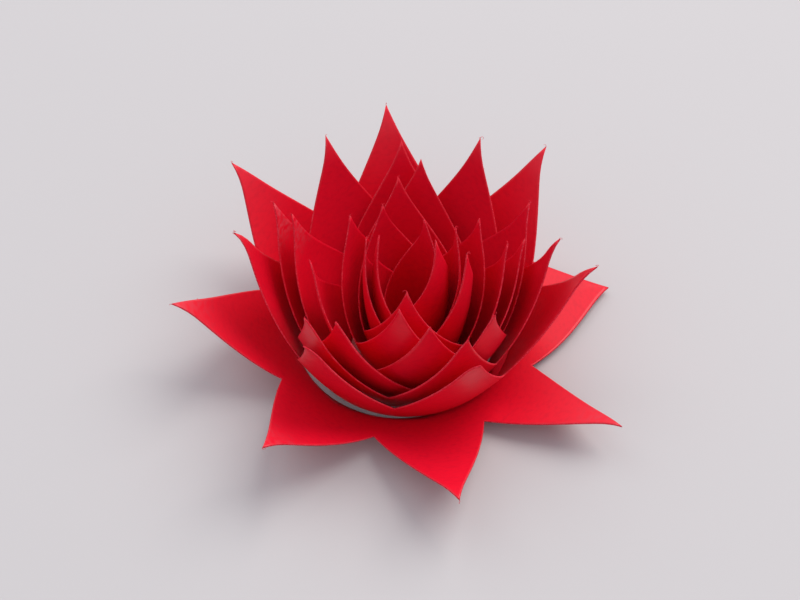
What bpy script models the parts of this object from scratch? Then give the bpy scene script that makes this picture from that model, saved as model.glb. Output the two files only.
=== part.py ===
"""A rolled card flower: one cut strip of red card, coiled from its middle outwards.

The strip has a plain band along its lower edge and a row of pointed petals above it. It is
rolled into a loose upright coil, and the last turn lies down flat as a star. The tab at
the strip's outer end is folded in under the coil, where a bed of glue holds the turns.

Frame: metres, +Z up, origin at the middle of the tab's underside, on the table.
Petals are counted from 0 at the outer end of the strip to the middle of the coil. The strip
runs clockwise as it goes inwards, seen from above.
"""

import math

import bmesh
import bpy
import numpy as np

# Card and clearances, in metres
SHEET = 0.0003
GAP = 0.0003

# The cut strip laid flat
PETAL_COUNT = 40
PETAL_PITCH = 0.0213
BAND_WIDTH = 0.0088
TIP_TAPER = 0.41
FIRST_CUT_SHIFT = 0.24

# How the strip is rolled: pairs of petal number and value
FIRST_PETAL_ANGLE = math.radians(6.3)
COIL_RADIUS = (
    (0, 0.0253), (1, 0.0295), (2, 0.0307), (3, 0.0301), (4, 0.0274), (6, 0.0219), (8, 0.0221),
    (11, 0.0213), (14, 0.0192), (20, 0.0169), (26, 0.0136), (32, 0.0092), (37, 0.0061),
    (39.5, 0.0032),
)
COIL_CENTRE_X = ((0, -0.0080), (4, 0.0018), (8, 0.0008), (20, 0.0001), (30, 0.0022), (39, 0.0014))
COIL_CENTRE_Y = (
    (0, 0.0086), (2, 0.0087), (4, 0.0080), (6, 0.0026), (9, 0.0001), (20, -0.0008), (30, -0.0029),
    (39, -0.0013),
)
STAR_LIFT = 0.0003
COIL_LIFT = 0.0016
LIFT_ENDS_AT_PETAL = 12

# Each petal from its foot to its point: pairs of petal number and value
PETAL_LENGTH = (
    (0, 0.0282), (1, 0.0349), (4, 0.0345), (6, 0.0352), (8, 0.0363), (12, 0.0363), (20, 0.0337),
    (29, 0.0328), (39, 0.0360),
)
PETAL_LEAN = (
    (0, 1), (1, 9), (2, 18), (3, 27), (4, 38), (5, 51), (6, 56), (8, 58), (11, 59), (16, 57),
    (24, 61), (39, 77),
)
PETAL_CUP = ((0, 3), (1, 12), (5, 8), (14, 28), (26, 29), (39, 28))
TIP_CURL = ((0, 6), (2, 15), (18, 17), (39, 5))
TIP_CURL_SHARE = 0.2

# The tab under the coil, and the glue on it
TAB_RADIUS = 0.018
TAB_CORNERS = 8
NECK_END_PETAL = 0.2
GLUE_MARGIN = 0.003
GLUE_EDGE = 0.0002

# Fineness of the mesh
SIDE_COLUMNS = (0.0, 0.32, 0.64, 0.88)
ROWS = 4
LEAN_STEPS = 12


def along(pairs, petal):
    """Value at a petal number, on a smooth curve through the pairs, level past both ends."""
    at, value = np.array(pairs, dtype=float).T
    slope = np.gradient(value, at)
    petal = np.clip(petal, at[0], at[-1])
    i = np.clip(np.searchsorted(at, petal) - 1, 0, len(at) - 2)
    step = at[i + 1] - at[i]
    t = (petal - at[i]) / step
    return (
        value[i] * (1 + 2 * t) * (1 - t) ** 2
        + slope[i] * step * t * (1 - t) ** 2
        + value[i + 1] * t**2 * (3 - 2 * t)
        + slope[i + 1] * step * t**2 * (t - 1)
    )


def smooth_step(t):
    """Ramp from 0 to 1 that starts and ends level."""
    t = np.clip(t, 0.0, 1.0)
    return t * t * (3 - 2 * t)


def first_cut():
    """Place of the cut between the first two petals, which is set off centre."""
    return 0.5 + FIRST_CUT_SHIFT


def strip_height(petal):
    """Height of the strip above its lower edge: the band, and the petal with hollow sides.

    Half a petal's width is taper*depth + (1 - taper)*depth**2, depth being its share down from
    the point. That is solved here for the depth.
    """
    middle = np.where(petal < first_cut(), 0, np.clip(np.rint(petal), 1, PETAL_COUNT - 1))
    far_cut = middle + np.where(petal > middle, 0.5, -0.5)
    far_cut = np.where(np.abs(far_cut - 0.5) < 0.1, first_cut(), far_cut)
    from_middle = (petal - middle) / (far_cut - middle)
    widen = 1 - TIP_TAPER
    root = np.sqrt(TIP_TAPER**2 + 4 * widen * np.clip(from_middle, 0, 1))
    depth = (root - TIP_TAPER) / (2 * widen)
    return BAND_WIDTH + (along(PETAL_LENGTH, petal) - BAND_WIDTH) * (1 - depth)


def turn_angle(petal):
    """Angle about the coil at a petal number: each step along the strip turns it by step/radius."""
    fine = np.linspace(-0.5, PETAL_COUNT - 0.5, PETAL_COUNT * 20 + 1)
    rate = PETAL_PITCH / along(COIL_RADIUS, fine)
    turned = np.concatenate([[0.0], np.cumsum((rate[1:] + rate[:-1]) / 2 * np.diff(fine))])
    first = np.interp(0.0, fine, turned)
    return FIRST_PETAL_ANGLE - (np.interp(petal, fine, turned) - first)


def edge_height(petal):
    """Height of the strip's lower edge: just over the table at the star, on the glue at the coil."""
    ground = SHEET / 2 + STAR_LIFT
    start = NECK_END_PETAL
    rise = smooth_step((petal - start) / (LIFT_ENDS_AT_PETAL - start))
    return ground + (COIL_LIFT - ground) * rise


def rolled(petal, height):
    """Point of the rolled strip at a petal number and a height above its lower edge."""
    length = along(PETAL_LENGTH, petal)
    reach = np.zeros_like(petal)
    rise = np.zeros_like(petal)
    for step in (np.arange(LEAN_STEPS) + 0.5) / LEAN_STEPS:
        share = step * height / length
        cup = along(PETAL_CUP, petal) * share
        tip = along(TIP_CURL, petal) * np.clip((share - 1) / TIP_CURL_SHARE + 1, 0, None)
        lean = np.radians(along(PETAL_LEAN, petal) + cup - tip)
        reach += np.cos(lean) * height / LEAN_STEPS
        rise += np.sin(lean) * height / LEAN_STEPS
    radius = along(COIL_RADIUS, petal) + reach
    angle = turn_angle(petal)
    x = along(COIL_CENTRE_X, petal) + radius * np.cos(angle)
    y = along(COIL_CENTRE_Y, petal) + radius * np.sin(angle)
    return np.stack([x, y, edge_height(petal) + rise], axis=-1)


def petal_numbers():
    """Petal number of every column of the strip, closer together at the points."""
    cuts = [n - 0.5 for n in range(PETAL_COUNT + 1)]
    cuts[1] = first_cut()
    numbers = []
    for n in range(PETAL_COUNT):
        numbers += [cuts[n] + (n - cuts[n]) * c for c in SIDE_COLUMNS]
        numbers += [cuts[n + 1] + (n - cuts[n + 1]) * c for c in (1.0,) + SIDE_COLUMNS[:0:-1]]
    return np.array(numbers + [cuts[-1]])


def add_strip(bm):
    """Roll up a flat grid of card, and return the vertices of its lower edge in order."""
    numbers = petal_numbers()
    columns = len(numbers)
    bmesh.ops.create_grid(bm, x_segments=columns - 1, y_segments=ROWS, size=0.5)
    verts = list(bm.verts)
    flat = np.array([v.co[:2] for v in verts]) + 0.5
    column = np.rint(flat[:, 0] * (columns - 1)).astype(int)
    petal = numbers[column]
    height = flat[:, 1] * strip_height(petal)
    for vert, place in zip(verts, rolled(petal, height)):
        vert.co = place
    edge = [(c, v) for c, v, y in zip(column, verts, flat[:, 1]) if y < 0.5 / ROWS]
    return numbers, [v for _, v in sorted(edge, key=lambda pair: pair[0])]


def add_tab(bm, numbers, edge):
    """Add the straight-sided tab, joined by a neck to the lower edge of the first petal."""
    neck = [v for v, take in zip(edge, numbers <= NECK_END_PETAL) if take]
    first, last = (math.atan2(v.co.y, v.co.x) for v in (neck[0], neck[-1]))
    angles = np.append(first, np.linspace(last, first - 2 * math.pi, TAB_CORNERS)[:-1])
    corners = TAB_RADIUS * np.stack([np.cos(angles), np.sin(angles)], axis=1)
    side = np.linspace(corners[0], corners[1], len(neck))
    rim = [bm.verts.new((x, y, SHEET / 2)) for x, y in np.concatenate([side, corners[2:]])]
    bm.faces.new(rim)
    for i in range(len(neck) - 1):
        bm.faces.new((rim[i], neck[i], neck[i + 1], rim[i + 1]))


def card_material():
    """Matt red card."""
    material = bpy.data.materials.new("red_card")
    material.use_nodes = True
    shader = material.node_tree.nodes["Principled BSDF"]
    shader.inputs["Base Color"].default_value = (0.55, 0.004, 0.02, 1)
    shader.inputs["Roughness"].default_value = 0.85
    shader.inputs["Metallic"].default_value = 0.0
    material.diffuse_color = (0.55, 0.004, 0.02, 1)
    return material


def glue_material():
    """Set clear glue, slightly milky."""
    material = bpy.data.materials.new("clear_glue")
    material.use_nodes = True
    shader = material.node_tree.nodes["Principled BSDF"]
    shader.inputs["Base Color"].default_value = (0.75, 0.72, 0.62, 1)
    shader.inputs["Roughness"].default_value = 0.35
    shader.inputs["Metallic"].default_value = 0.0
    material.diffuse_color = (0.75, 0.72, 0.62, 1)
    return material


def make_petal_spiral(collection, material):
    """The whole sheet: the coil of petals, the flat star turn and the tab, one piece of card."""
    bm = bmesh.new()
    numbers, edge = add_strip(bm)
    add_tab(bm, numbers, edge)
    bmesh.ops.recalc_face_normals(bm, faces=bm.faces)
    mesh = bpy.data.meshes.new("petal_spiral")
    bm.to_mesh(mesh)
    bm.free()
    mesh.materials.append(material)
    mesh.shade_smooth()
    spiral = bpy.data.objects.new("petal_spiral", mesh)
    collection.objects.link(spiral)
    thickness = spiral.modifiers.new("card thickness", "SOLIDIFY")
    thickness.thickness = SHEET
    thickness.offset = 0.0
    return spiral


def make_glue_bed(collection, material):
    """The flat bed of glue between the tab and the coil's lower edges."""
    bottom = SHEET + GAP
    top = COIL_LIFT - SHEET / 2 - GAP
    bm = bmesh.new()
    bmesh.ops.create_cone(
        bm,
        cap_ends=True,
        segments=48,
        radius1=TAB_RADIUS - GLUE_MARGIN,
        radius2=TAB_RADIUS - GLUE_MARGIN,
        depth=top - bottom,
    )
    mesh = bpy.data.meshes.new("glue_bed")
    bm.to_mesh(mesh)
    bm.free()
    mesh.materials.append(material)
    mesh.shade_smooth()
    mesh.set_sharp_from_angle(angle=math.radians(40))
    glue = bpy.data.objects.new("glue_bed", mesh)
    glue.location = (0, 0, (top + bottom) / 2)
    collection.objects.link(glue)
    edge = glue.modifiers.new("rounded edge", "BEVEL")
    edge.width = GLUE_EDGE
    edge.segments = 2
    return glue


def main():
    """Clear the scene and build both pieces in the flower's collection."""
    for old in list(bpy.data.objects):
        bpy.data.objects.remove(old, do_unlink=True)
    collection = bpy.data.collections.new("paper_flower")
    bpy.context.scene.collection.children.link(collection)
    make_petal_spiral(collection, card_material())
    make_glue_bed(collection, glue_material())


main()
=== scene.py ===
"""Looks of a rolled card flower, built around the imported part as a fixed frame.

The flower is one cut strip of red card. Its plain band and pointed petals are rolled into an
upright coil, and the last turn lies down as a star. Here the strip is built again on a fine
grid with its true thickness, its cut edges, the curl of each tip and the loose paper fibres.

Frame: metres, +Z up, origin at the middle of the underside of the tab.
Petals are counted from 0 at the outer end of the strip to the middle of the coil.
"""

from __future__ import annotations

import logging
import math
from dataclasses import dataclass, field

import bpy
import numpy as np
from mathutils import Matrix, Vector

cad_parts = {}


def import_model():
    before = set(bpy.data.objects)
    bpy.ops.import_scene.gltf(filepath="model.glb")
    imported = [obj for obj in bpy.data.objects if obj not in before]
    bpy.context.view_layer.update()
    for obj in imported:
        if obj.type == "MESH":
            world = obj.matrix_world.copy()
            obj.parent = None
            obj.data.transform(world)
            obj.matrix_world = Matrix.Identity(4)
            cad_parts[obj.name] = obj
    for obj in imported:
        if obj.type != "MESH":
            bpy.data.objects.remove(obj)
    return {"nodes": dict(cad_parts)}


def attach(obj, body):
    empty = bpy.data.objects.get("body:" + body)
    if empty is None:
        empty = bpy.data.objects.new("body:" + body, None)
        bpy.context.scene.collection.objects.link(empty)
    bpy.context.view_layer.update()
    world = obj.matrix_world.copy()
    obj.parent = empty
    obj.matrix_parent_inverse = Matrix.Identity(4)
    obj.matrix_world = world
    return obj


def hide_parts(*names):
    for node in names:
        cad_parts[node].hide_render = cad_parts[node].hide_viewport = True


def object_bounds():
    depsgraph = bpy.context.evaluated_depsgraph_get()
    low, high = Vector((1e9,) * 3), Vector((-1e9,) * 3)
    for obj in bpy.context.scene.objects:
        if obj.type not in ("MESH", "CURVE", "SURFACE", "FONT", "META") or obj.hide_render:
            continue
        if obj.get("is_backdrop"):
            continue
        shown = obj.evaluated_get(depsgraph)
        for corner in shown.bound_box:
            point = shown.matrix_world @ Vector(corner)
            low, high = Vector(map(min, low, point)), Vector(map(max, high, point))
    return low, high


LOG = logging.getLogger("flower")
MM = 0.001
HALF_PETAL = 0.5  # petals are numbered at their points, so half a number lies on each side

# Sockets of a colour Mix node, which shares its names among several kinds of value.
MIX_SHARE = 0
MIX_FROM = 6
MIX_TO = 7
MIX_COLOUR = 2

# Loose fibres: how much a curl tightens, and how far it lifts off its own plane, in radii.
CURL_TIGHTENS = 0.45
CURL_LIFTS = 0.4
FIBRE_END = 0.5  # radius of a fibre's far end, as a share of its root's
FIBRE_CAP = 0.05  # radius of both closed ends, as a share of the root's
OFF_AXIS = np.array([0.31, 0.17, 0.93])  # a direction that no fibre runs along

Pair = tuple[float, float]
Pairs = tuple[Pair, ...]


def linear(hex_colour: str, alpha: float = 1.0) -> tuple[float, float, float, float]:
    """Turn an sRGB hex colour into linear red, green, blue and alpha.

    Args:
        hex_colour: Six hex digits after a hash sign.
        alpha: The fourth channel, passed on unchanged.

    Returns:
        The linear colour.
    """
    parts = np.array([int(hex_colour[i : i + 2], 16) for i in (1, 3, 5)]) / 255
    light = np.where(parts <= 0.04045, parts / 12.92, ((parts + 0.055) / 1.055) ** 2.4)
    return (float(light[0]), float(light[1]), float(light[2]), alpha)


def add_node(
    tree: bpy.types.NodeTree, kind: str, inputs: dict | None = None, **settings
) -> bpy.types.Node:
    """Add one node, set its options, and fill or link its inputs.

    Args:
        tree: The node tree that takes the node.
        kind: Blender's name for the node's type.
        inputs: Input name or number, to a value or to the socket that feeds it.
        **settings: Attributes of the node itself.

    Returns:
        The new node.
    """
    node = tree.nodes.new(kind)
    for name, value in settings.items():
        setattr(node, name, value)
    for name, value in (inputs or {}).items():
        if isinstance(value, bpy.types.NodeSocket):
            tree.links.new(value, node.inputs[name])
        else:
            node.inputs[name].default_value = value
    return node


def along(pairs: Pairs, petal: np.ndarray) -> np.ndarray:
    """Value at a petal number: a cubic through the pairs, with the slopes of their neighbours.

    Args:
        pairs: Petal number and value, in order.
        petal: Petal numbers, which may lie between the pairs.

    Returns:
        The values, level past both ends.
    """
    at, value = np.array(pairs, dtype=float).T
    slope = np.gradient(value, at)
    petal = np.clip(petal, at[0], at[-1])
    i = np.clip(np.searchsorted(at, petal) - 1, 0, len(at) - 2)
    step = at[i + 1] - at[i]
    t = (petal - at[i]) / step
    return (
        value[i] * (1 + 2 * t) * (1 - t) ** 2
        + slope[i] * step * t * (1 - t) ** 2
        + value[i + 1] * t**2 * (3 - 2 * t)
        + slope[i + 1] * step * t**2 * (t - 1)
    )


def smooth_step(t: np.ndarray) -> np.ndarray:
    """Ramp from 0 to 1 that starts and ends level: 3 t squared less 2 t cubed."""
    t = np.clip(t, 0.0, 1.0)
    return t * t * (3 - 2 * t)


@dataclass(frozen=True)
class CutStrip:
    """The strip of card, as it is cut and as it is rolled. Lengths are in metres."""

    sheet: float = 0.3 * MM
    petal_count: int = 40
    pitch: float = 21.3 * MM
    band: float = 8.8 * MM
    taper: float = 0.41
    first_cut: float = 0.74
    first_angle: float = math.radians(6.3)
    star_lift: float = 0.3 * MM
    coil_lift: float = 1.6 * MM
    lift_ends: float = 12.0
    neck_end: float = 0.2
    tab_radius: float = 18 * MM
    tip_share: float = 0.2
    lean_steps: int = 24
    angle_steps: int = 20
    radius: Pairs = (
        (0, 0.0253), (1, 0.0295), (2, 0.0307), (3, 0.0301), (4, 0.0274), (6, 0.0219), (8, 0.0221),
        (11, 0.0213), (14, 0.0192), (20, 0.0169), (26, 0.0136), (32, 0.0092), (37, 0.0061),
        (39.5, 0.0032),
    )
    centre_x: Pairs = (
        (0, -0.0080), (4, 0.0018), (8, 0.0008), (20, 0.0001), (30, 0.0022), (39, 0.0014),
    )
    centre_y: Pairs = (
        (0, 0.0086), (2, 0.0087), (4, 0.0080), (6, 0.0026), (9, 0.0001), (20, -0.0008),
        (30, -0.0029), (39, -0.0013),
    )
    length: Pairs = (
        (0, 0.0282), (1, 0.0349), (4, 0.0345), (6, 0.0352), (8, 0.0363), (12, 0.0363), (20, 0.0337),
        (29, 0.0328), (39, 0.0360),
    )
    lean: Pairs = (
        (0, 1), (1, 9), (2, 18), (3, 27), (4, 38), (5, 51), (6, 56), (8, 58), (11, 59), (16, 57),
        (24, 61), (39, 77),
    )
    cup: Pairs = ((0, 3), (1, 12), (5, 8), (14, 28), (26, 29), (39, 28))
    tip_curl: Pairs = ((0, 6), (2, 15), (18, 17), (39, 5))

    def cuts(self) -> np.ndarray:
        """Petal numbers of all the cuts between petals, and of both ends of the strip.

        Returns:
            One number more than there are petals.
        """
        places = np.arange(self.petal_count + 1) - HALF_PETAL
        places[1] = self.first_cut
        return places

    def height(self, petal: np.ndarray) -> np.ndarray:
        """Height of the strip: the band, and the petal's height above it.

        Half a petal's width is taper*depth + (1 - taper)*depth**2, depth being its share down
        from the point. That is solved here for the depth.

        Args:
            petal: Petal numbers along the strip.

        Returns:
            Height above the strip's lower edge, in metres.
        """
        cuts = self.cuts()
        middle = np.clip(np.searchsorted(cuts, petal) - 1, 0, self.petal_count - 1)
        far_cut = np.where(petal > middle, cuts[middle + 1], cuts[middle])
        from_middle = np.clip((petal - middle) / (far_cut - middle), 0, 1)
        widen = 1 - self.taper
        depth = (np.sqrt(self.taper**2 + 4 * widen * from_middle) - self.taper) / (2 * widen)
        return self.band + (along(self.length, petal) - self.band) * (1 - depth)

    def angle(self, petal: np.ndarray) -> np.ndarray:
        """Angle about the coil: each step along the strip turns it by that step over the radius.

        Args:
            petal: Petal numbers along the strip.

        Returns:
            Angles in radians, which fall as the strip goes clockwise inwards.
        """
        steps = self.petal_count * self.angle_steps
        fine = np.linspace(-HALF_PETAL, self.petal_count - HALF_PETAL, steps + 1)
        rate = self.pitch / along(self.radius, fine)
        turned = np.concatenate([[0.0], np.cumsum((rate[1:] + rate[:-1]) / 2 * np.diff(fine))])
        first = np.interp(0.0, fine, turned)
        return self.first_angle - (np.interp(petal, fine, turned) - first)

    def edge_height(self, petal: np.ndarray) -> np.ndarray:
        """Height of the lower edge: just over the table at the star, then up a smooth ramp.

        Args:
            petal: Petal numbers along the strip.

        Returns:
            Heights in metres.
        """
        ground = self.sheet / 2 + self.star_lift
        rise = smooth_step((petal - self.neck_end) / (self.lift_ends - self.neck_end))
        return ground + (self.coil_lift - ground) * rise

    def rolled(
        self, petal: np.ndarray, height: np.ndarray, hook: np.ndarray | float = 0.0
    ) -> np.ndarray:
        """Point of the rolled card: the coil's radius, summed along a line that leans outwards.

        The lean grows from foot to tip by the cup, and falls back over the last share of the
        petal by the tip's curl. A hook adds to that curl over the last half of the share.

        Args:
            petal: Petal numbers.
            height: Heights above the lower edge, measured along the card.
            hook: Further curl of each point's petal tip, in degrees.

        Returns:
            Points, with x, y and z on the last axis.
        """
        length = along(self.length, petal)
        reach = np.zeros_like(petal)
        rise = np.zeros_like(petal)
        for step in (np.arange(self.lean_steps) + 0.5) / self.lean_steps:
            share = step * height / length
            past = np.clip((share - 1) / self.tip_share + 1, 0, None)
            tip = along(self.tip_curl, petal) * past + hook * np.clip(2 * past - 1, 0, None)
            lean = np.radians(along(self.lean, petal) + along(self.cup, petal) * share - tip)
            reach += np.cos(lean) * height / self.lean_steps
            rise += np.sin(lean) * height / self.lean_steps
        radius = along(self.radius, petal) + reach
        angle = self.angle(petal)
        x = along(self.centre_x, petal) + radius * np.cos(angle)
        y = along(self.centre_y, petal) + radius * np.sin(angle)
        return np.stack([x, y, self.edge_height(petal) + rise], axis=-1)


@dataclass(frozen=True)
class RedCard:
    """Dyed craft card, calendered on both faces: matt, with a faint mottle of felted fibres."""

    colour: str = "#E00728"
    dark_fibre: str = "#BE0222"
    # Pale pink of the upper parts of chosen petals: rubbed wear on the coil petals, painted highlight on the
    # lit star tips.
    scuff_and_highlight_pink: str = "#E05A68"
    roughness: float = 0.4
    sheen: float = 0.4
    mottle_size: float = 1.0 * MM
    mottle_detail: float = 3.0
    mottle_range: Pair = (0.45, 0.72)
    mottle_share: float = 0.6
    scuff_and_highlight_range: Pair = (0.42, 0.62)
    cloud_size: float = 7 * MM
    tooth_size: float = 0.22 * MM
    tooth_depth: float = 0.012 * MM
    tooth_strength: float = 0.6

    def material(self) -> bpy.types.Material:
        """Build the card: dark fibres through the dye, a paper tooth, and pale patches near chosen petal
        tips, rubbed wear on coil petals and painted highlight on the lit star tips.

        Returns:
            The material of both faces.
        """
        material = bpy.data.materials.new("dyed_red_card")
        material.use_nodes = True
        tree = material.node_tree
        shader = tree.nodes["Principled BSDF"]
        flat = add_node(tree, "ShaderNodeUVMap", uv_map="flat").outputs[0]
        mottle = add_node(
            tree,
            "ShaderNodeTexNoise",
            {0: flat, "Scale": 1 / self.mottle_size, "Detail": self.mottle_detail},
        ).outputs[0]
        low, high = self.mottle_range
        spots = add_node(
            tree, "ShaderNodeMapRange", {0: mottle, 1: low, 2: high, 4: self.mottle_share}
        )
        cloud = add_node(tree, "ShaderNodeTexNoise", {0: flat, "Scale": 1 / self.cloud_size})
        amount = add_node(
            tree, "ShaderNodeMath", {0: spots.outputs[0], 1: cloud.outputs[0]}, operation="MULTIPLY"
        )
        dye = {MIX_FROM: linear(self.colour), MIX_TO: linear(self.dark_fibre)}
        dyed = add_node(
            tree, "ShaderNodeMix", {MIX_SHARE: amount.outputs[0], **dye}, data_type="RGBA"
        ).outputs[MIX_COLOUR]
        # Pale patches near chosen petal tips: rubbed wear on coil petals 16, 17 and 22, painted highlight on
        # the lit tips of star petals 1, 3 and 4.
        scuff_and_highlight = add_node(tree, "ShaderNodeAttribute", attribute_name="scuff_and_highlight").outputs["Fac"]
        low, high = self.scuff_and_highlight_range
        grain = add_node(tree, "ShaderNodeMapRange", {0: mottle, 1: low, 2: high})
        paled = add_node(
            tree, "ShaderNodeMath", {0: scuff_and_highlight, 1: grain.outputs[0]}, operation="MULTIPLY"
        )
        toward_pale = {MIX_FROM: dyed, MIX_TO: linear(self.scuff_and_highlight_pink)}
        colour = add_node(
            tree, "ShaderNodeMix", {MIX_SHARE: paled.outputs[0], **toward_pale}, data_type="RGBA"
        )
        tooth = add_node(tree, "ShaderNodeTexNoise", {0: flat, "Scale": 1 / self.tooth_size})
        relief = {"Strength": self.tooth_strength, "Distance": self.tooth_depth}
        bump = add_node(tree, "ShaderNodeBump", {"Height": tooth.outputs[0], **relief})
        tree.links.new(colour.outputs[MIX_COLOUR], shader.inputs["Base Color"])
        tree.links.new(bump.outputs[0], shader.inputs["Normal"])
        shader.inputs["Roughness"].default_value = self.roughness
        shader.inputs["Specular IOR Level"].default_value = self.sheen
        return material


@dataclass(frozen=True)
class CutEdge:
    """The cut through the card: the dye is thinner in the middle of the sheet, so it is paler."""

    colour: str = "#D0182E"
    pale: str = "#E44A5A"
    roughness: float = 0.8
    sheen: float = 0.12
    fibre_size: float = 0.3 * MM
    fibre_range: Pair = (0.45, 0.7)

    def material(self) -> bpy.types.Material:
        """Build the cut edge: pale fibres in a rough red line.

        Returns:
            The material of the cut and of the loose fibres.
        """
        material = bpy.data.materials.new("cut_card_edge")
        material.use_nodes = True
        tree = material.node_tree
        shader = tree.nodes["Principled BSDF"]
        place = add_node(tree, "ShaderNodeTexCoord").outputs["Object"]
        fibre = add_node(tree, "ShaderNodeTexNoise", {0: place, "Scale": 1 / self.fibre_size})
        low, high = self.fibre_range
        share = add_node(tree, "ShaderNodeMapRange", {0: fibre.outputs[0], 1: low, 2: high})
        ends = {MIX_FROM: linear(self.colour), MIX_TO: linear(self.pale)}
        mixed = add_node(
            tree, "ShaderNodeMix", {MIX_SHARE: share.outputs[0], **ends}, data_type="RGBA"
        )
        tree.links.new(mixed.outputs[MIX_COLOUR], shader.inputs["Base Color"])
        shader.inputs["Roughness"].default_value = self.roughness
        shader.inputs["Specular IOR Level"].default_value = self.sheen
        return material


@dataclass(frozen=True)
class SetGlue:
    """Hot-melt glue that has set, half a millimetre thick on the red tab, soft-edged and glossy.

    It is nearly clear, so the eye gets the red card under it, with milky clouds where it is
    thicker. The hollow is too deep for light to find its way through real glass, so the glue
    is drawn opaque in those colours.
    """

    colour: str = "#C20E22"
    milky: str = "#CA1A28"
    roughness: float = 0.32
    cloud_size: float = 5 * MM
    cloud_range: Pair = (0.4, 0.65)
    wave_depth: float = 0.15 * MM
    wave_strength: float = 0.5

    def material(self) -> bpy.types.Material:
        """Build the glue: red card seen through it, milky clouds, and a gloss with slow waves.

        Returns:
            The material of the glue bed.
        """
        material = bpy.data.materials.new("set_hot_glue")
        material.use_nodes = True
        tree = material.node_tree
        shader = tree.nodes["Principled BSDF"]
        place = add_node(tree, "ShaderNodeTexCoord").outputs["Object"]
        cloud = add_node(tree, "ShaderNodeTexNoise", {0: place, "Scale": 1 / self.cloud_size})
        low, high = self.cloud_range
        thick = add_node(tree, "ShaderNodeMapRange", {0: cloud.outputs[0], 1: low, 2: high})
        ends = {MIX_FROM: linear(self.colour), MIX_TO: linear(self.milky)}
        mixed = add_node(
            tree, "ShaderNodeMix", {MIX_SHARE: thick.outputs[0], **ends}, data_type="RGBA"
        )
        relief = {"Strength": self.wave_strength, "Distance": self.wave_depth}
        bump = add_node(tree, "ShaderNodeBump", {"Height": cloud.outputs[0], **relief})
        tree.links.new(mixed.outputs[MIX_COLOUR], shader.inputs["Base Color"])
        tree.links.new(bump.outputs[0], shader.inputs["Normal"])
        shader.inputs["Roughness"].default_value = self.roughness
        return material


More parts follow.
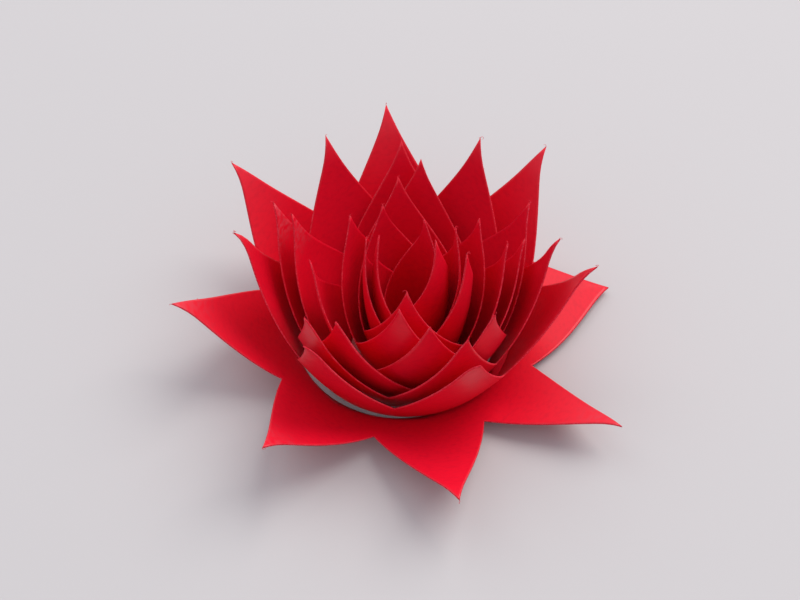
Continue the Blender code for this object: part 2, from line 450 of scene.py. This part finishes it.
@dataclass
class PetalSpiral:
    """The whole sheet of card, on a fine grid: the coil, the star turn, the neck and the tab."""

    strip: CutStrip
    side_steps: int = 14
    rows: int = 26
    tab_rings: int = 6
    tab_corners: int = 8
    hooked: dict[int, float] = field(default_factory=lambda: {1: 12.0, 11: 18.0, 14: 8.0})
    # Pale share for the upper part of these petals: rubbed wear on coil petals 16, 17 and 22, painted
    # highlight on the lit tips of star petals 1, 3 and 4.
    scuff_and_highlight: dict[int, float] = field(
        default_factory=lambda: {16: 0.3, 17: 0.55, 22: 0.4, 1: 0.15, 3: 0.2, 4: 0.2}
    )
    scuff_and_highlight_from: float = 0.62
    scuff_and_highlight_fade: float = 0.2

    def columns(self) -> np.ndarray:
        """Petal number of every column: equal steps of height down each hollow side.

        Returns:
            Numbers from one end of the strip to the other.
        """
        share = np.linspace(0, 1, self.side_steps + 1)
        depth = self.strip.taper * share + (1 - self.strip.taper) * share**2
        cuts = self.strip.cuts()
        tips = np.arange(self.strip.petal_count)
        rising = tips[:, None] + (cuts[:-1] - tips)[:, None] * depth[::-1]
        falling = tips[:, None] + (cuts[1:] - tips)[:, None] * depth[1:-1]
        return np.append(np.concatenate([rising, falling], axis=1).ravel(), cuts[-1])

    def build(self, card: bpy.types.Material, edge: bpy.types.Material) -> bpy.types.Object:
        """Make the sheet, give it its thickness, and put it in place of the plain solid.

        Args:
            card: Material of both faces.
            edge: Material of the cut.

        Returns:
            The finished piece.
        """
        numbers = self.columns()
        share = np.linspace(0, 1, self.rows + 1)
        petal = np.broadcast_to(numbers, (self.rows + 1, len(numbers)))
        height = share[:, None] * self.strip.height(numbers)[None, :]
        hook = sum(d * (np.abs(petal - n) < HALF_PETAL) for n, d in self.hooked.items())
        points = self.strip.rolled(petal, height, hook)
        flat = np.stack([petal * self.strip.pitch, height], axis=-1)
        # Pale patches rising toward the tips: rubbed wear, and painted highlight where the star tips are
        # lit.
        toward_pale = sum(w * (np.abs(petal - n) < HALF_PETAL) for n, w in self.scuff_and_highlight.items())
        past = height / along(self.strip.length, petal) - self.scuff_and_highlight_from
        toward_pale = toward_pale * smooth_step(past / self.scuff_and_highlight_fade)
        index = np.arange(points[..., 0].size).reshape(petal.shape)
        tab_points, tab_quads = self.tab(numbers, points[0], index[0], index.size)
        mesh = mesh_from(
            "petal_spiral_card",
            np.concatenate([points.reshape(-1, 3), tab_points]),
            np.concatenate([grid_quads(index), tab_quads]),
        )
        set_flat_map(mesh, np.concatenate([flat.reshape(-1, 2), tab_points[:, :2]]))
        paled = mesh.attributes.new("scuff_and_highlight", "FLOAT", "POINT")
        unpaled = np.zeros(len(tab_points))
        paled.data.foreach_set("value", np.concatenate([toward_pale.ravel(), unpaled]))
        piece = finished(mesh, (card, edge))
        body = piece.modifiers.new("card thickness", "SOLIDIFY")
        body.thickness = self.strip.sheet
        body.offset = 0.0
        body.material_offset_rim = 1
        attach(piece, "root")
        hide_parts("petal_spiral")
        return piece

    def tab(
        self, numbers: np.ndarray, edge: np.ndarray, edge_index: np.ndarray, first: int
    ) -> tuple[np.ndarray, np.ndarray]:
        """Straight-sided tab in rings about its middle, one side joined to the strip's lower edge.

        Args:
            numbers: Petal numbers of the strip's columns.
            edge: Points of the strip's lower edge.
            edge_index: Vertex numbers of those points.
            first: Vertex number of the tab's first point.

        Returns:
            The tab's points, and the four-sided faces of tab and neck.
        """
        neck = numbers <= self.strip.neck_end
        start, end = np.arctan2(edge[neck, 1], edge[neck, 0])[[0, -1]]
        angles = np.append(start, np.linspace(end, start - 2 * math.pi, self.tab_corners)[:-1])
        corners = self.strip.tab_radius * np.stack([np.cos(angles), np.sin(angles)], axis=1)
        side = np.linspace(corners[0], corners[1], neck.sum())
        rim = np.concatenate([side, corners[2:]])
        share = np.linspace(1, 0, self.tab_rings + 1)[:-1]
        x, y = np.moveaxis(share[:, None, None] * rim, 2, 0)
        rings = np.stack([x, y, np.full_like(x, self.strip.sheet / 2)], axis=-1)
        index = first + np.arange(x.size).reshape(x.shape)
        index = np.concatenate([index, index[:, :1]], axis=1)
        middle = np.array([[0.0, 0.0, self.strip.sheet / 2]])
        centre = first + x.size
        inner = index[-1]
        fan = np.stack([inner[:-1], inner[1:], np.full(len(inner) - 1, centre)], axis=1)
        fan = np.concatenate([fan, fan[:, 2:]], axis=1)
        joined = np.stack([index[0, : neck.sum()], edge_index[neck]])
        neck_quads = grid_quads(joined[::-1])
        faces = np.concatenate([neck_quads, grid_quads(index), fan])[:, ::-1]
        return np.concatenate([rings.reshape(-1, 3), middle]), faces


@dataclass
class PaperFibres:
    """Loose fibres that the blade lifted: curls at the petal tips and burrs along the cuts."""

    strip: CutStrip
    seed: int = 7
    curls_per_tip: int = 2
    curls_kept: float = 0.6
    burrs_per_petal: int = 5
    burrs_from: float = 0.4
    burr_shift: float = 0.08
    burr_scale: float = 0.35
    curl_radius: tuple[float, float] = (0.22 * MM, 0.5 * MM)
    curl_turn: tuple[float, float] = (math.radians(120), math.radians(330))
    thickness: float = 0.05 * MM
    thinnest: float = 0.6
    root_depth: float = 0.05 * MM
    heading_step: float = 0.5 * MM
    steps: int = 14
    sides: int = 6

    def build(self, material: bpy.types.Material) -> bpy.types.Object:
        """Make all fibres as one piece of fine tubes.

        Args:
            material: The pale cut card.

        Returns:
            The finished piece.
        """
        rng = np.random.default_rng(self.seed)
        tips = np.repeat(np.arange(1, self.strip.petal_count, dtype=float), self.curls_per_tip)
        kept = tips[rng.random(len(tips)) < self.curls_kept]
        count = self.strip.petal_count * self.burrs_per_petal
        spread = np.arange(count) / self.burrs_per_petal - self.burrs_from
        burrs = spread + rng.uniform(-self.burr_shift, self.burr_shift, len(spread))
        petals = np.concatenate([kept, burrs])
        small = np.concatenate([np.ones(len(kept)), np.full(len(burrs), self.burr_scale)])
        top = self.strip.rolled(petals, self.strip.height(petals))
        below = self.strip.rolled(petals, self.strip.height(petals) - self.heading_step)
        heading = (top - below) / np.linalg.norm(top - below, axis=1, keepdims=True)
        radius = rng.uniform(*self.curl_radius, len(petals)) * small
        turn = rng.uniform(*self.curl_turn, len(petals))
        side = rng.normal(size=(len(petals), 3))
        side -= (side * heading).sum(1, keepdims=True) * heading
        side /= np.linalg.norm(side, axis=1, keepdims=True)
        root = top - self.root_depth * heading
        paths = curl_paths(root, heading, side, radius, turn, self.steps)
        width = self.thickness * (self.thinnest + (1 - self.thinnest) * small)
        points, faces = tubes(paths, width, self.sides)
        piece = finished(mesh_from("paper_fibres", points, faces), (material,))
        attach(piece, "root")
        return piece


def curl_paths(
    start: np.ndarray,
    heading: np.ndarray,
    side: np.ndarray,
    radius: np.ndarray,
    turn: np.ndarray,
    steps: int,
) -> np.ndarray:
    """Arcs that leave along a heading and curl to one side: sine along it, one less cosine across.

    Args:
        start: First points, one for each arc.
        heading: Unit directions at the start.
        side: Unit directions that the arcs curl towards.
        radius: Radii of the arcs.
        turn: Angles that the arcs go through.
        steps: Number of points on each.

    Returns:
        Points by arc and by step.
    """
    share = np.linspace(0, 1, steps)
    angle = turn[:, None] * share
    wide = radius[:, None] * (1 - CURL_TIGHTENS * share)
    ahead = (wide * np.sin(angle))[..., None] * heading[:, None]
    across = (radius[:, None] - wide * np.cos(angle))[..., None] * side[:, None]
    out = np.cross(heading, side)[:, None]
    lift = (radius[:, None] * CURL_LIFTS * share)[..., None] * out
    return start[:, None] + ahead + across + lift


def tubes(paths: np.ndarray, radius: np.ndarray, sides: int) -> tuple[np.ndarray, np.ndarray]:
    """Round tubes about many paths, tapered to their far end and closed at both ends.

    Args:
        paths: Points by path and by step.
        radius: Radius at the start of each path.
        sides: Number of sides of each tube, which is six for the caps to fit.

    Returns:
        All points, and the four-sided faces, with a small flat cap at both ends.
    """
    count, steps, _ = paths.shape
    ahead = np.gradient(paths, axis=1)
    ahead /= np.linalg.norm(ahead, axis=2, keepdims=True)
    level = np.cross(ahead, OFF_AXIS)
    level /= np.linalg.norm(level, axis=2, keepdims=True)
    upright = np.cross(ahead, level)
    round_angle = 2 * math.pi * np.arange(sides) / sides
    taper = np.linspace(1, FIBRE_END, steps)
    taper[[0, -1]] = FIBRE_CAP
    wide = radius[:, None, None, None] * taper[None, :, None, None]
    across = level[:, :, None] * np.cos(round_angle)[:, None]
    upwards = upright[:, :, None] * np.sin(round_angle)[:, None]
    points = paths[:, :, None] + wide * (across + upwards)
    index = np.arange(count * steps * sides).reshape(count, steps, sides)
    index = np.concatenate([index, index[:, :, :1]], axis=2)
    faces = np.stack(
        [index[:, :-1, :-1], index[:, :-1, 1:], index[:, 1:, 1:], index[:, 1:, :-1]], axis=-1
    ).reshape(-1, 4)
    caps = np.concatenate([cap_faces(index[:, 0, :-1][:, ::-1]), cap_faces(index[:, -1, :-1])])
    return points.reshape(-1, 3), np.concatenate([faces, caps])


def cap_faces(rings: np.ndarray) -> np.ndarray:
    """Four-sided faces that close six-sided rings of vertex numbers, two faces to a ring."""
    return np.concatenate([rings[:, [0, 1, 2, 3]], rings[:, [0, 3, 4, 5]]])


def grid_quads(index: np.ndarray) -> np.ndarray:
    """Four-sided faces between the neighbours of a grid of vertex numbers."""
    corners = (index[:-1, :-1], index[:-1, 1:], index[1:, 1:], index[1:, :-1])
    return np.stack([c.ravel() for c in corners], axis=1)


def mesh_from(name: str, points: np.ndarray, faces: np.ndarray) -> bpy.types.Mesh:
    """Make a smooth mesh from arrays. A face whose first or last two numbers match is a triangle.

    Args:
        name: Name of the mesh.
        points: Points in metres.
        faces: Four vertex numbers a face.

    Returns:
        The mesh.
    """
    start = (faces[:, 0] == faces[:, 1]).astype(int)
    stop = 4 - (faces[:, 2] == faces[:, 3]).astype(int)
    loops = [f[a:b] for f, a, b in zip(faces.tolist(), start.tolist(), stop.tolist())]
    mesh = bpy.data.meshes.new(name)
    mesh.from_pydata(points.tolist(), [], loops)
    mesh.shade_smooth()
    return mesh


def set_flat_map(mesh: bpy.types.Mesh, flat: np.ndarray) -> None:
    """Keep each point's place on the flat sheet as the map that patterns follow.

    Args:
        mesh: The sheet's mesh.
        flat: Place of each vertex on the flat sheet, in metres.
    """
    corner = np.empty(len(mesh.loops), dtype=np.int32)
    mesh.loops.foreach_get("vertex_index", corner)
    layer = mesh.uv_layers.new(name="flat")
    layer.data.foreach_set("uv", flat[corner].ravel())


def finished(mesh: bpy.types.Mesh, materials: tuple[bpy.types.Material, ...]) -> bpy.types.Object:
    """Put a mesh with its materials into the scene, unturned at the origin.

    Args:
        mesh: The mesh, which gives the object its name.
        materials: Its materials, in the order of its slots.

    Returns:
        The new object.
    """
    for material in materials:
        mesh.materials.append(material)
    piece = bpy.data.objects.new(mesh.name, mesh)
    bpy.context.scene.collection.objects.link(piece)
    return piece


@dataclass(frozen=True)
class Camera:
    """The photograph's viewpoint."""

    elevation: float = math.radians(48.43)
    distance: float = 479 * MM
    aim: tuple[float, float, float] = (-1.22 * MM, 12.05 * MM, 0.0)
    nearest: float = 10 * MM
    sensor: float = 36.0
    focal_pixels: float = 2155.5
    width_pixels: float = 800.0

    def build(self) -> None:
        """Make the camera and look through it."""
        data = bpy.data.cameras.new("camera")
        data.sensor_width = self.sensor
        data.lens = self.sensor * self.focal_pixels / self.width_pixels
        data.clip_start = self.nearest
        camera = bpy.data.objects.new("camera", data)
        back = Vector((0.0, -math.cos(self.elevation), math.sin(self.elevation)))
        camera.location = Vector(self.aim) + back * self.distance
        camera.rotation_euler = (math.pi / 2 - self.elevation, 0.0, 0.0)
        bpy.context.scene.collection.objects.link(camera)
        bpy.context.scene.camera = camera


@dataclass(frozen=True)
class SoftLight:
    """A round soft light that faces the flower."""

    name: str
    colour: str
    level: float
    azimuth: float
    elevation: float
    distance: float = 1.8
    size: float = 1.5

    def build(self) -> None:
        """Make the light. Its power gives a level surface at its target the stated level."""
        data = bpy.data.lights.new(self.name, "AREA")
        data.shape = "DISK"
        data.size = self.size
        data.color = linear(self.colour)[:3]
        data.energy = self.level * math.pi**2 * self.distance**2 / math.sin(self.elevation)
        light = bpy.data.objects.new(self.name, data)
        level = math.cos(self.elevation)
        across, along_y = level * math.cos(self.azimuth), level * math.sin(self.azimuth)
        away = Vector((across, along_y, math.sin(self.elevation)))
        light.location = away * self.distance
        light.rotation_euler = away.to_track_quat("Z", "Y").to_euler()
        bpy.context.scene.collection.objects.link(light)


@dataclass(frozen=True)
class Studio:
    """A pale table under two soft lights from behind, right and left, in a pale room."""

    table: str = "#BEBCBD"
    room: str = "#F6F6FF"
    room_level: float = 0.74
    lights: tuple[SoftLight, ...] = (
        SoftLight("right_light", "#FFFBF6", 0.62, math.radians(38), math.radians(54)),
        SoftLight("left_light", "#FFFDFA", 0.14, math.radians(135), math.radians(50)),
    )
    table_size: float = 6.0
    table_roughness: float = 0.9
    table_sheen: float = 0.2

    def build(self, floor_height: float) -> None:
        """Make the table top, the lights and the room.

        Args:
            floor_height: Height of the surface that the flower stands on.
        """
        reach = self.table_size / 2
        corners = np.array([[-reach, -reach], [reach, -reach], [reach, reach], [-reach, reach]])
        points = np.column_stack([corners, np.full(4, floor_height)])
        material = bpy.data.materials.new("matt_white_table")
        material.use_nodes = True
        shader = material.node_tree.nodes["Principled BSDF"]
        shader.inputs["Base Color"].default_value = linear(self.table)
        shader.inputs["Roughness"].default_value = self.table_roughness
        shader.inputs["Specular IOR Level"].default_value = self.table_sheen
        finished(mesh_from("table_top", points, np.array([[0, 1, 2, 3]])), (material,))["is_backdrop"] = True
        for light in self.lights:
            light.build()
        self.build_room()

    def build_room(self) -> None:
        """Make the even light of the room."""
        world = bpy.data.worlds.new("pale_room")
        world.use_nodes = True
        sky = world.node_tree.nodes["Background"]
        sky.inputs["Color"].default_value = linear(self.room)
        sky.inputs["Strength"].default_value = self.room_level
        bpy.context.scene.world = world


def box_lists() -> list[list[float]]:
    """The whole model's box as plain lists: its lowest and its highest corner."""
    return [[float(v) for v in corner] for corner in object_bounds()]


def main() -> None:
    """Load the frame, build the pieces in order, and light and view them."""
    logging.basicConfig(level=logging.INFO, format="%(message)s")
    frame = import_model()
    cad_box = box_lists()
    bpy.context.scene.view_settings.view_transform = "Standard"
    strip = CutStrip()
    card = RedCard().material()
    edge = CutEdge().material()
    spiral = PetalSpiral(strip).build(card, edge)
    LOG.info("%s: %d faces before thickness", spiral.name, len(spiral.data.polygons))
    fibres = PaperFibres(strip).build(edge)
    LOG.info("%s: %d faces", fibres.name, len(fibres.data.polygons))
    glue = frame["nodes"]["glue_bed"]
    glue.data.materials.clear()
    glue.data.materials.append(SetGlue().material())
    LOG.info("%s: set glue", glue.name)
    Camera().build()
    Studio().build(floor_height=cad_box[0][2])


if __name__ == "__main__":
    main()
